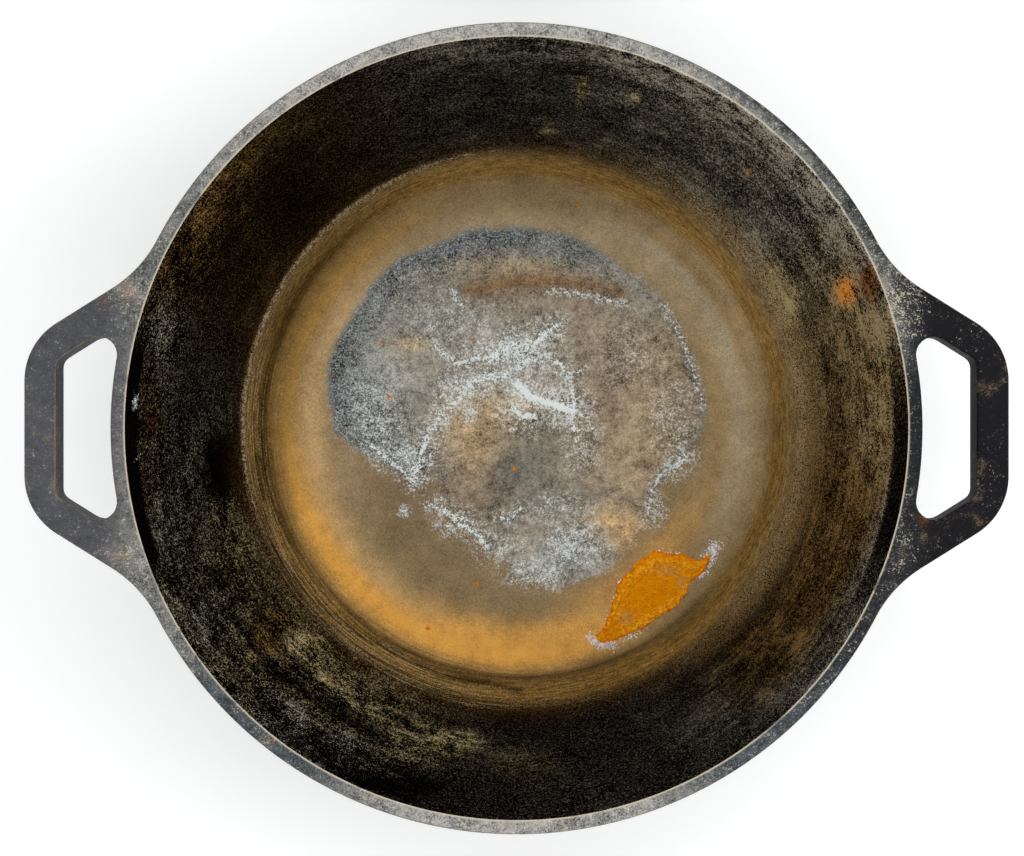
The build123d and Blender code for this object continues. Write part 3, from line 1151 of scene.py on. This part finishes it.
def white_scale(made, layers):
    """How thick the white scale lies, as a thin bloom and in ragged veins."""
    bloom = made.total((layers.grain, 0.17), (layers.ragged, 0.13), (layers.lumps, 0.13))
    bloom = made.times(bloom, made.range(made.share("haze"), 0.02, 0.3))
    bloom = made.range(made.total(made.share("haze"), bloom), 0.12, 1.35, 0.0, 0.85)
    veins = made.total((layers.grain, 0.14), (layers.ragged, 0.19))
    veins = made.times(veins, made.range(made.share("veins"), 0.02, 0.2))
    veins = made.range(made.total(made.share("veins"), veins), 0.38, 0.95, 0.0, 0.95)
    return made.math("MAXIMUM", bloom, veins)


def inside_finish():
    """Seasoned iron with brown rings on the floor, a grey patch, mineral scale, and grime on the wall with a
    painted reflection of the floor on its right.
    """
    made = Finish("stained_iron", roughness=0.7, specular=0.0)
    layers = inside_layers(made)
    tint = floor_tint(made, layers)
    tint = patch_over(tint, made, layers)
    tint = seam_over(tint, made, layers)
    tint = grime_and_reflection_over(tint, made, layers)
    scale = white_scale(made, layers)
    tint = made.mix(scale, tint, MINERAL / FLOOR_LIGHT)
    return made.finish(tint, made.total((layers.grain, 0.3), (layers.lumps, 0.2), scale), 0.12)


RUBBED_EDGE = (1.1, 0.5)  # millimetres from the mouth between which the rim is rubbed bright


def rim_finish():
    """Bare and worn iron of the rim and the handles, with their painted reflections, pitted and specked, with
    a bright rubbed edge.
    """
    made = Finish("worn_rim_iron", roughness=0.5, specular=0.1)
    fine = made.noise(0.5, 1, 0.6)
    powder = made.noise(1.1, 3, 0.8)
    blotches = made.noise(3.0, 3, 0.65)
    clouds = made.noise(8.0, 4, 0.55)
    grain = made.total((fine, 0.8), (powder, 0.6))
    mottled = made.total((grain, 0.24), (blotches, 0.12), (clouds, 0.12))
    tint = made.shade(made.colour("rim_tint"), made.times(mottled, made.share("rim_rough")))
    cover = made.total(made.share("rim_specks"), (grain, 0.22), (blotches, 0.12))
    tint = made.over(tint, CREAM, cover, 0.38, 0.95, 0.75)
    dull_from, bright_to = [(inside_radius(RIM_TOP) + away) * MM for away in RUBBED_EDGE]
    rub = made.range(made.axis_distance(), dull_from, bright_to)
    rub = made.times(rub, made.range(clouds, -2.5, -0.5, 0.3, 0.85))
    tint = made.mix(rub, tint, CREAM)
    rim_edge = made.total(made.share("edge"), (clouds, 0.2), (grain, 0.1))
    tint = made.over(tint, EDGE_TAN, rim_edge, 0.3, 1.0, 0.75)
    return made.finish(tint, made.total((grain, 0.3), (clouds, 0.2)), 0.10)


def outside_finish(name, tint, brown):
    """Black seasoned iron with the grain of a sand mould and a brown bloom."""
    made = Finish(name, roughness=0.55, specular=0.35)
    fine = made.noise(0.8)
    pits = made.noise(2.2, 3)
    broad = made.noise(28.0, 4)
    bloom = made.total(broad, (pits, 0.5), (fine, 0.4))
    colour = made.mix(made.range(bloom, -0.6, 2.4), tint, brown)
    colour = made.shade(colour, made.total((fine, 0.12), (pits, 0.10)))
    made.feed_shader({"Roughness": made.total(0.55, (broad, 0.05), (fine, 0.03))})
    return made.finish(colour, made.total((fine, 0.2), (pits, 0.4)), 0.18)


# Pot
OUTSIDE_TINT = linear(30, 28, 27)
OUTSIDE_BROWN = linear(48, 40, 34)
ZONE_SLACK = 0.3  # millimetres outside the wall's inner face that still count as inside
FLOOR_SLACK = 1.0  # and below the floor's top


def add_object(name, data):
    """An object in the scene."""
    made = bpy.data.objects.new(name, data)
    bpy.context.scene.collection.objects.link(made)
    return made


def show(name, mesh, *finishes):
    """Add a mesh to the scene as a piece that moves with the pot."""
    piece = add_object(name, mesh)
    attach(piece, "pot")
    for finish in finishes:
        mesh.materials.append(finish)
    return piece


def pot_zones(mesh):
    """Number of the finish on each face: 0 inside, 1 on the rim and the handles, 2 outside."""
    flat = np.empty(3 * len(mesh.polygons))
    mesh.polygons.foreach_get("center", flat)
    middles = flat.reshape(-1, 3) / MM
    z = middles[:, 2]
    radius = np.hypot(middles[:, 0], middles[:, 1])
    inside = (radius < inside_radius(z) + ZONE_SLACK) & (z > FLOOR_TOP - FLOOR_SLACK)
    return np.where(inside, 0, np.where(z > UNDERSIDE + 0.5 * RIM_ROUND, 1, 2))


pot_skin = show("pot_skin", pot_mesh())
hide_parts("pot")
pot_paint = Paint(pot_skin.data)
paint_inside(pot_paint)
paint_rim(pot_paint)
for finish in (inside_finish(), rim_finish(), outside_finish("seasoned_iron", OUTSIDE_TINT, OUTSIDE_BROWN)):
    pot_skin.data.materials.append(finish)
pot_skin.data.polygons.foreach_set("material_index", pot_zones(pot_skin.data).astype(np.int32))

# Residue on the floor: outlines and paths in pixels of the picture, sizes in millimetres
RESIDUE_OUTLINE = [
    (594, 640), (606, 623), (614, 598), (617, 584), (622, 579), (632, 570), (633, 564), (650, 554),
    (654, 550), (669, 554), (683, 554), (697, 560), (713, 553), (706, 569), (700, 576), (692, 580),
    (686, 595), (674, 609), (657, 618), (644, 629), (627, 635), (612, 642), (601, 642),
]
RESIDUE_LIP = [(604, 630), (616, 604), (624, 586), (640, 572), (656, 560), (672, 560), (692, 567), (704, 562)]
RESIDUE_GRAINS = [(626, 630), (644, 622), (662, 610), (676, 602), (688, 588)]
RESIDUE_DULLS = [((668, 570), (16, 6)), ((682, 582), (8, 8)), ((626, 618), (10, 9))]  # middle, half sizes
RESIDUE_STROKE = 7  # width of the lip's and the grains' colour
RESIDUE_STEP = 0.55
RESIDUE_RAGGED = 0.35
RESIDUE_THIN = 0.35
RESIDUE_SUNK = 0.2
RESIDUE_EDGE = 0.6  # how far from its edge the crust reaches its full thickness
LIP_WIDTH = 1.9
LIP_HEIGHT = (0.8, 0.3)  # a mean and what chance adds or takes
GRAINS_WIDTH = 2.0
GRAINS_HEIGHT = (0.2, 0.25)
RESIDUE_TINT = linear(236, 144, 2) / FLOOR_LIGHT
RESIDUE_DEEP = linear(236, 130, 0) / FLOOR_LIGHT
RESIDUE_YELLOW_AND_HIGHLIGHT = linear(255, 184, 44) / FLOOR_LIGHT
RESIDUE_DULL = linear(206, 148, 70) / FLOOR_LIGHT
# Salt grains: path, number, spread
SALT_PATHS = [
    ([(706, 560), (713, 552), (717, 545)], 190, 3.6),
    ([(714, 556), (706, 572), (697, 579)], 60, 1.6),
    ([(590, 636), (598, 645), (616, 646)], 190, 2.8),
    ([(618, 643), (632, 636), (646, 629)], 50, 1.5),
    ([(606, 620), (617, 588), (622, 577)], 22, 1.2),
    ([(656, 550), (682, 552)], 16, 1.2),
]
SALT_SIZES = (0.3, 0.75)
SALT = linear(232, 218, 226) / FLOOR_LIGHT
CRUMBS = [(383, 342), (473, 340), (389, 397), (331, 411), (477, 583), (577, 204), (514, 469), (428, 628)]
CRUMB_SIZES = (1.1, 1.7)
# Lumps of salt and crumbs: how far chance stretches one and moves its points, how flat it lies and how high
LUMP_STRETCH = (0.7, 1.3)
LUMP_KNOBS = (0.8, 1.2)
LUMP_FLATNESS = 0.6
LUMP_LIFT = 0.1


def rough_ring(outline, spacing, depth, seed):
    """An outline cut into short runs, with a ragged edge."""
    draw = np.random.default_rng(seed)
    ring = []
    for start, end in zip(outline, np.roll(outline, -1, axis=0)):
        count = max(1, round(np.linalg.norm(end - start) / spacing))
        ring += [start + (end - start) * step / count for step in range(count)]
    ring = np.array(ring)
    jitter = draw.normal(0, depth, ring.shape)
    return ring + (jitter + np.roll(jitter, 1, axis=0) + np.roll(jitter, -1, axis=0)) / 3


def residue_height(points, ring, seed):
    """Thickness of the crust: a lumpy ridge at the upper left, grains at the lower right, a thin middle."""
    draw = np.random.default_rng(seed)
    inward = distance_to(points, ring, closed=True)
    ridge = fade(distance_to(points, on_floor(RESIDUE_LIP)), LIP_WIDTH)
    grains = fade(distance_to(points, on_floor(RESIDUE_GRAINS)), GRAINS_WIDTH)
    rough = draw.uniform(-1, 1, len(points))
    height = RESIDUE_THIN + (LIP_HEIGHT[0] + LIP_HEIGHT[1] * rough) * ridge
    height += (GRAINS_HEIGHT[0] + GRAINS_HEIGHT[1] * rough) * grains
    return np.minimum(inward / RESIDUE_EDGE, 1) * height, inward


def residue_mesh():
    """The orange crust that dried on the floor."""
    ring = rough_ring(on_floor(RESIDUE_OUTLINE), RESIDUE_STEP, RESIDUE_RAGGED, seed=3)
    skin = Skin()
    edge = skin.loop([(x, y, FLOOR_TOP) for x, y in ring])
    skin.sheet(FLOOR_TOP, edge, [], RESIDUE_STEP)
    top = np.array(skin.points)
    height, inward = residue_height(top[:, :2], ring, seed=4)
    top[:, 2] = FLOOR_TOP + height
    count = len(top)
    below = [(x, y, FLOOR_TOP - RESIDUE_SUNK) for x, y, _ in top]
    top_faces = list(skin.faces)
    skin.points = [tuple(point) for point in top] + below
    skin.faces = top_faces + [tuple(number + count for number in face) for face in top_faces]
    skin.band(edge, [number + count for number in edge])
    mesh = skin.mesh("residue")
    paint = Paint(mesh)
    dull = np.zeros(2 * count)
    for centre, size in RESIDUE_DULLS:
        dull = np.maximum(dull, paint.cloud(centre, size))
    paint.share("inward", np.concatenate([inward, inward]))
    paint.share("dull", dull)
    paint.share("lip", paint.stroke(RESIDUE_LIP, RESIDUE_STROKE))
    paint.share("grains", paint.stroke(RESIDUE_GRAINS, RESIDUE_STROKE))
    return mesh


def residue_finish():
    """Dried orange crust: deep at the edge, with yellow lumps and painted highlights on its ridge and grains,
    and a duller middle.
    """
    made = Finish("orange_residue", roughness=0.4, specular=0.1)
    fine = made.noise(0.6, 1, 0.6)
    lumps = made.noise(1.6, 3, 0.65)
    inward = made.total(made.share("inward"), (lumps, 0.4))
    tint = made.mix(made.range(inward, 0.5, 1.8), RESIDUE_DEEP, RESIDUE_TINT)
    dull = made.total(made.share("dull"), (fine, 0.15))
    tint = made.over(tint, RESIDUE_DULL, dull, 0.2, 1.0, 0.75)
    # Yellow crust and painted highlights on the lumps of the ridge and on the grains
    ridge = made.total(made.share("lip"), (lumps, 0.30), (fine, 0.12))
    tint = made.over(tint, RESIDUE_YELLOW_AND_HIGHLIGHT, ridge, 0.7, 1.7, 0.8)
    grains = made.total(made.share("grains"), (fine, 0.30), (lumps, 0.12))
    tint = made.over(tint, RESIDUE_YELLOW_AND_HIGHLIGHT, grains, 0.7, 1.4, 0.9)
    tint = made.shade(tint, made.total((fine, 0.05), (lumps, 0.05)))
    return made.finish(tint, made.total((fine, 0.3), (lumps, 0.6)), 0.3)


def lumps_mesh(name, spots, sizes, seed):
    """Small uneven lumps that lie on the floor, each a knobbly ball pressed flat."""
    draw = np.random.default_rng(seed)
    work = bmesh.new()
    for (x, y), size in zip(spots, sizes):
        ball = bmesh.ops.create_icosphere(work, subdivisions=2, radius=1.0)
        stretch = draw.uniform(*LUMP_STRETCH, 3) * (1, 1, LUMP_FLATNESS)
        middle = np.array((x, y, FLOOR_TOP + LUMP_LIFT * size))
        for point in ball["verts"]:
            knob = size / 2 * draw.uniform(*LUMP_KNOBS)
            point.co = Vector(middle + np.array(point.co, float) * knob * stretch) * MM
    mesh = bpy.data.meshes.new(name)
    work.to_mesh(mesh)
    work.free()
    mesh.polygons.foreach_set("use_smooth", [True] * len(mesh.polygons))
    return mesh


def salt_grains(seed):
    """Places and sizes of the salt grains, strewn about their paths."""
    draw = np.random.default_rng(seed)
    spots = []
    for path, count, spread in SALT_PATHS:
        path = np.array(path, float)
        for _ in range(count):
            place = draw.uniform(0, len(path) - 1)
            first = int(place)
            pixel = path[first] + (path[first + 1] - path[first]) * (place - first)
            spots.append(pixel + draw.normal(0, spread, 2))
    return on_floor(spots), draw.uniform(*SALT_SIZES, len(spots))


def salt_finish():
    """Crystals of salt, white with a breath of lilac."""
    made = Finish("salt_crust", roughness=0.75, specular=0.2)
    grain = made.noise(0.4)
    tint = made.mix(made.range(made.noise(2.0), -1.5, 1.5), SALT, MINERAL)
    return made.finish(made.shade(tint, made.times(grain, 0.05)), grain, 0.04)


crust = residue_finish()
crumb_sizes = np.linspace(*CRUMB_SIZES, len(CRUMBS))
show("residue", residue_mesh(), crust)
show("salt_crust", lumps_mesh("salt_crust", *salt_grains(seed=7), seed=8), salt_finish())
show("residue_crumbs", lumps_mesh("residue_crumbs", on_floor(CRUMBS), crumb_sizes, seed=9), crust)

# Lid
LID_TINT = linear(34, 32, 31)
LID_BROWN = linear(52, 44, 37)
LID_VOXEL = 1.6
LID_SMOOTHING = 6
LID_SOFTNESS = 0.5  # how far one round of smoothing moves a point

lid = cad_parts["lid"]
remesh = lid.modifiers.new("cast_form", "REMESH")
remesh.mode = "VOXEL"
remesh.voxel_size = LID_VOXEL * MM
remesh.use_smooth_shade = True
soften = lid.modifiers.new("cast_edges", "SMOOTH")
soften.factor = LID_SOFTNESS
soften.iterations = LID_SMOOTHING
lid.data.materials.clear()
lid.data.materials.append(outside_finish("lid_iron", LID_TINT, LID_BROWN))

# Stage, in metres
WHITE = (1, 1, 1, 1)
FLOOR_SIZE = 40.0
FLOOR_TINT = (0.95, 0.96, 0.96, 1)
FLOOR_ROUGHNESS = 0.9
FLOOR_GLOW = 0.18
WORLD_LIGHT = 0.55
WORLD_SEEN = 1.0
# Soft boxes: name, place, size, power
LAMPS = [
    ("lamp_back", (0.0, 0.60, 1.3), (1.4, 0.5), 5.0),
    ("lamp_front", (0.0, -0.60, 1.3), (1.4, 0.5), 5.0),
    ("lamp_right", (1.1, 0.1, 0.75), (0.5, 1.0), 4.0),
]


def seen_by_eye(tree):
    """1 for what is seen by the camera, in a reflection or through glass, and 0 for what only gives light."""
    path = add_node(tree, "LightPath", {}).outputs
    seen = path["Is Camera Ray"]
    for name in ("Is Glossy Ray", "Is Transmission Ray"):
        seen = add_node(tree, "Math", {0: seen, 1: path[name]}, operation="MAXIMUM").outputs[0]
    return seen


def strength(tree, dark, seen):
    """A strength that is one value for light alone and another where it is seen."""
    inputs = {0: seen_by_eye(tree), 1: seen - dark, 2: dark}
    return add_node(tree, "Math", inputs, operation="MULTIPLY_ADD").outputs[0]


def add_floor():
    """A pale floor that reads as white from the camera and keeps the shadows."""
    size = FLOOR_SIZE / 2
    corners = [(-size, -size, 0), (size, -size, 0), (size, size, 0), (-size, size, 0)]
    mesh = bpy.data.meshes.new("floor")
    mesh.from_pydata(corners, [], [(0, 1, 2, 3)])
    made = Finish("pale_floor", FLOOR_ROUGHNESS, specular=0.0)
    glow = strength(made.tree, 0.0, FLOOR_GLOW)
    made.feed_shader({"Base Color": FLOOR_TINT, "Emission Color": WHITE, "Emission Strength": glow})
    mesh.materials.append(made.material)
    floor = add_object("floor", mesh)


def add_lights():
    """An even white room and three soft boxes."""
    world = bpy.data.worlds.new("studio")
    world.use_nodes = True
    background = world.node_tree.nodes["Background"]
    feed(world.node_tree, background.inputs["Color"], WHITE)
    feed(world.node_tree, background.inputs["Strength"], strength(world.node_tree, WORLD_LIGHT, WORLD_SEEN))
    bpy.context.scene.world = world
    target = Vector((0, 0, RIM_TOP * MM))
    for name, place, (width, depth), power in LAMPS:
        light = bpy.data.lights.new(name, "AREA")
        light.shape = "RECTANGLE"
        light.size = width
        light.size_y = depth
        light.energy = power
        lamp = add_object(name, light)
        lamp.location = place
        lamp.rotation_euler = (target - lamp.location).to_track_quat("-Z", "Y").to_euler()


def add_camera():
    """A camera straight above the pot, framed as the picture is."""
    data = bpy.data.cameras.new("camera")
    data.sensor_width = SENSOR
    data.lens = FOCAL * SENSOR / PICTURE[0]
    data.shift_x = (PICTURE[0] / 2 - AXIS_PIXEL[0]) / PICTURE[0]
    data.shift_y = (AXIS_PIXEL[1] - PICTURE[1] / 2) / PICTURE[0]
    camera = add_object("camera", data)
    camera.location = Vector((CAMERA_X, CAMERA_Y, CAMERA_Z)) * MM
    bpy.context.scene.camera = camera


add_floor()
add_lights()
add_camera()
bpy.context.scene.view_settings.view_transform = "Standard"
